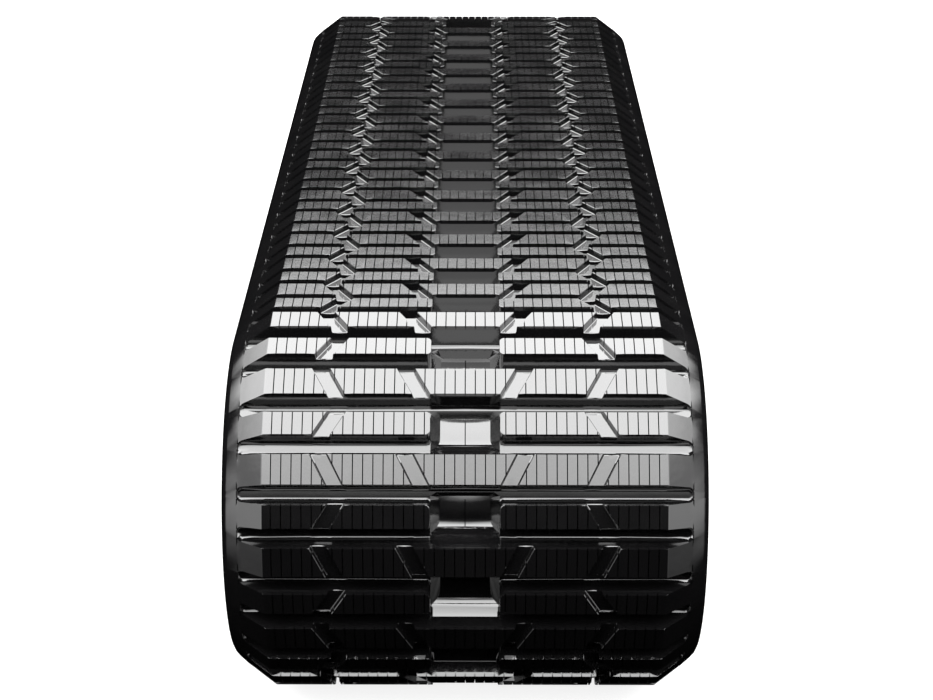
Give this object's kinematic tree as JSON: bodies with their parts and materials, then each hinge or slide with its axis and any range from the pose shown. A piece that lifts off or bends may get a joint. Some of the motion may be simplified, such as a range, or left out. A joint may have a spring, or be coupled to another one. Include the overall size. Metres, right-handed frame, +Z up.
{
  "type": "rubber track",
  "caption": "Endless rubber crawler track lying on its tread: full and split cross bars outside, closed drive windows and paired steel guide horns inside.",
  "frame": {"origin": "on the ground under the middle of the loop, where the bottom run's tread rests", "axes": "+X across the belt, +Y along the runs towards the rear bend, +Z up"},
  "size_m": [0.45, 1.4866, 0.3864],
  "materials": {
    "tread_rubber": "glossy moulded black rubber",
    "inner_rubber": "satin moulded black rubber",
    "ply_fabric": "rubber-dipped woven ply",
    "core_steel": "forged steel, dark",
    "cord_steel": "brass-coated twisted steel cord"
  },
  "bodies": {
    "bottom_run": {"bottom_run_tread": "tread_rubber", "bottom_run_inner_cover": "inner_rubber", "bottom_run_ply": "ply_fabric", "bottom_run_cores": "core_steel", "bottom_run_cords_left": "cord_steel", "bottom_run_cords_right": "cord_steel"},
    "front_link_1": {"front_link_1_rubber": "tread_rubber", "front_link_1_core": "core_steel", "front_link_1_cords": "cord_steel"},
    "front_link_2": {"front_link_2_rubber": "tread_rubber", "front_link_2_core": "core_steel", "front_link_2_cords": "cord_steel"},
    "front_link_3": {"front_link_3_rubber": "tread_rubber", "front_link_3_core": "core_steel", "front_link_3_cords": "cord_steel"},
    "front_link_4": {"front_link_4_rubber": "tread_rubber", "front_link_4_core": "core_steel", "front_link_4_cords": "cord_steel"},
    "front_link_5": {"front_link_5_rubber": "tread_rubber", "front_link_5_core": "core_steel", "front_link_5_cords": "cord_steel"},
    "front_link_6": {"front_link_6_rubber": "tread_rubber", "front_link_6_core": "core_steel", "front_link_6_cords": "cord_steel"},
    "top_front_run": {"top_front_run_tread": "tread_rubber", "top_front_run_inner_cover": "inner_rubber", "top_front_run_ply": "ply_fabric", "top_front_run_cores": "core_steel", "top_front_run_cords_left": "cord_steel", "top_front_run_cords_right": "cord_steel"},
    "rear_link_1": {"rear_link_1_rubber": "tread_rubber", "rear_link_1_core": "core_steel", "rear_link_1_cords": "cord_steel"},
    "rear_link_2": {"rear_link_2_rubber": "tread_rubber", "rear_link_2_core": "core_steel", "rear_link_2_cords": "cord_steel"},
    "rear_link_3": {"rear_link_3_rubber": "tread_rubber", "rear_link_3_core": "core_steel", "rear_link_3_cords": "cord_steel"},
    "rear_link_4": {"rear_link_4_rubber": "tread_rubber", "rear_link_4_core": "core_steel", "rear_link_4_cords": "cord_steel"},
    "rear_link_5": {"rear_link_5_rubber": "tread_rubber", "rear_link_5_core": "core_steel", "rear_link_5_cords": "cord_steel"},
    "rear_link_6": {"rear_link_6_rubber": "tread_rubber", "rear_link_6_core": "core_steel", "rear_link_6_cords": "cord_steel"},
    "top_rear_run": {"top_rear_run_tread": "tread_rubber", "top_rear_run_inner_cover": "inner_rubber", "top_rear_run_ply": "ply_fabric", "top_rear_run_cores": "core_steel", "top_rear_run_cords_left": "cord_steel", "top_rear_run_cords_right": "cord_steel"}
  },
  "joints": [
    {"name": "front_flex_1", "type": "hinge", "parent": "bottom_run", "child": "front_link_1", "pos_m": [0, -0.58399, 0.03864], "axis": [1, 0, 0], "range_deg": [-6, 6], "stiffness_Nm_per_rad": 420, "springref_deg": -97.98},
    {"name": "front_flex_2", "type": "hinge", "parent": "front_link_1", "child": "front_link_2", "pos_m": [0, -0.64771, 0.06858], "axis": [1, 0, 0], "range_deg": [-1.86, 1.86], "stiffness_Nm_per_rad": 420, "springref_deg": -25.47},
    {"name": "front_flex_3", "type": "hinge", "parent": "front_link_2", "child": "front_link_3", "pos_m": [0, -0.69213, 0.12321], "axis": [1, 0, 0], "range_deg": [-3.3, 3.3], "stiffness_Nm_per_rad": 420, "springref_deg": 48.99},
    {"name": "front_flex_4", "type": "hinge", "parent": "front_link_3", "child": "front_link_4", "pos_m": [0, -0.70844, 0.1917], "axis": [1, 0, 0], "range_deg": [-9.3, 9.3], "stiffness_Nm_per_rad": 420, "springref_deg": 146.96},
    {"name": "front_flex_5", "type": "hinge", "parent": "front_link_4", "child": "front_link_5", "pos_m": [0, -0.69343, 0.26049], "axis": [1, 0, 0], "range_deg": [-3.3, 3.3], "stiffness_Nm_per_rad": 420, "springref_deg": 48.99},
    {"name": "front_flex_6", "type": "hinge", "parent": "front_link_5", "child": "front_link_6", "pos_m": [0, -0.65005, 0.31594], "axis": [1, 0, 0], "range_deg": [-1.74, 1.74], "stiffness_Nm_per_rad": 420, "springref_deg": -23.51},
    {"name": "front_flex_7", "type": "hinge", "parent": "front_link_6", "child": "top_front_run", "pos_m": [0, -0.58691, 0.34709], "axis": [1, 0, 0], "range_deg": [-6.3, 6.3], "stiffness_Nm_per_rad": 420, "springref_deg": -97.98},
    {"name": "rear_flex_1", "type": "hinge", "parent": "bottom_run", "child": "rear_link_1", "pos_m": [0, 0.58399, 0.03864], "axis": [1, 0, 0], "range_deg": [-6.3, 6.3], "stiffness_Nm_per_rad": 420, "springref_deg": 97.98},
    {"name": "rear_flex_2", "type": "hinge", "parent": "rear_link_1", "child": "rear_link_2", "pos_m": [0, 0.64771, 0.06858], "axis": [1, 0, 0], "range_deg": [-1.86, 1.86], "stiffness_Nm_per_rad": 420, "springref_deg": 25.47},
    {"name": "rear_flex_3", "type": "hinge", "parent": "rear_link_2", "child": "rear_link_3", "pos_m": [0, 0.69213, 0.12321], "axis": [1, 0, 0], "range_deg": [-3.3, 3.3], "stiffness_Nm_per_rad": 420, "springref_deg": -48.99},
    {"name": "rear_flex_4", "type": "hinge", "parent": "rear_link_3", "child": "rear_link_4", "pos_m": [0, 0.70844, 0.1917], "axis": [1, 0, 0], "range_deg": [-9.3, 9.3], "stiffness_Nm_per_rad": 420, "springref_deg": -146.96},
    {"name": "rear_flex_5", "type": "hinge", "parent": "rear_link_4", "child": "rear_link_5", "pos_m": [0, 0.69343, 0.26049], "axis": [1, 0, 0], "range_deg": [-3.3, 3.3], "stiffness_Nm_per_rad": 420, "springref_deg": -48.99},
    {"name": "rear_flex_6", "type": "hinge", "parent": "rear_link_5", "child": "rear_link_6", "pos_m": [0, 0.65005, 0.31594], "axis": [1, 0, 0], "range_deg": [-1.74, 1.74], "stiffness_Nm_per_rad": 420, "springref_deg": 23.51},
    {"name": "rear_flex_7", "type": "hinge", "parent": "rear_link_6", "child": "top_rear_run", "pos_m": [0, 0.58691, 0.34709], "axis": [1, 0, 0], "range_deg": [-6.3, 6.3], "stiffness_Nm_per_rad": 420, "springref_deg": 97.98}
  ],
  "couplings": [
    {"joint": "front_flex_2", "follows": "front_flex_1", "ratio": 0.26},
    {"joint": "front_flex_3", "follows": "front_flex_1", "ratio": -0.5},
    {"joint": "front_flex_4", "follows": "front_flex_1", "ratio": -1.5},
    {"joint": "front_flex_5", "follows": "front_flex_1", "ratio": -0.5},
    {"joint": "front_flex_6", "follows": "front_flex_1", "ratio": 0.24},
    {"joint": "front_flex_7", "follows": "front_flex_1", "ratio": 1},
    {"joint": "rear_flex_1", "follows": "front_flex_1", "ratio": -1},
    {"joint": "rear_flex_2", "follows": "front_flex_1", "ratio": -0.26},
    {"joint": "rear_flex_3", "follows": "front_flex_1", "ratio": 0.5},
    {"joint": "rear_flex_4", "follows": "front_flex_1", "ratio": 1.5},
    {"joint": "rear_flex_5", "follows": "front_flex_1", "ratio": 0.5},
    {"joint": "rear_flex_6", "follows": "front_flex_1", "ratio": -0.24},
    {"joint": "rear_flex_7", "follows": "front_flex_1", "ratio": -1}
  ]
}
